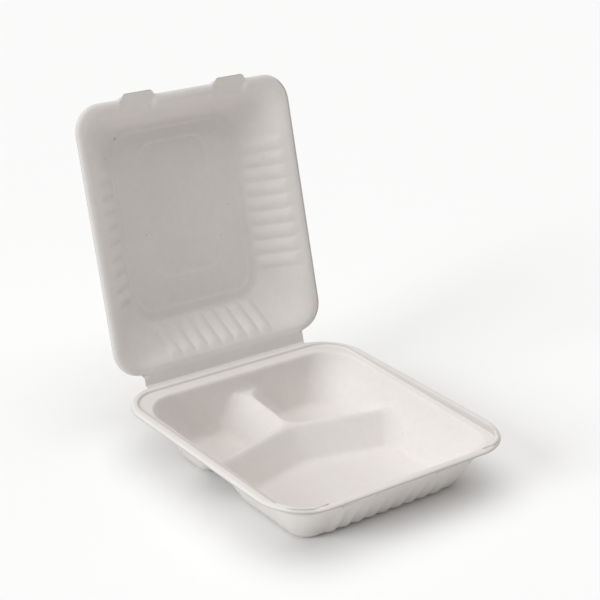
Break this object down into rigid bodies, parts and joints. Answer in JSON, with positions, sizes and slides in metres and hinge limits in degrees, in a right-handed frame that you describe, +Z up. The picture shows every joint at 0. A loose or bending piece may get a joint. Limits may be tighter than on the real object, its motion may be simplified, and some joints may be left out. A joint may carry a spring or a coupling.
{
  "type": "hinged clamshell food container",
  "caption": "Square one-piece moulded-pulp takeaway container with a compartmented tray and a ribbed hinged lid that locks with tabs, shown standing open.",
  "frame": {"origin": "centre of the tray's rim outline, on the plane that the underside rests on", "axes": "+Z up, +Y from the locking slots towards the hinge, +X to the right seen from the front"},
  "size_m": [0.23, 0.3355, 0.2749],
  "materials": {
    "pulp": "matte"
  },
  "bodies": {
    "tray": {"base": "pulp"},
    "cover": {"lid": "pulp"}
  },
  "joints": [
    {"name": "crease", "type": "hinge", "parent": "tray", "child": "cover", "pos_m": [0, 0.121, 0.045], "axis": [1, 0, 0], "range_deg": [-73, 108.3]}
  ]
}
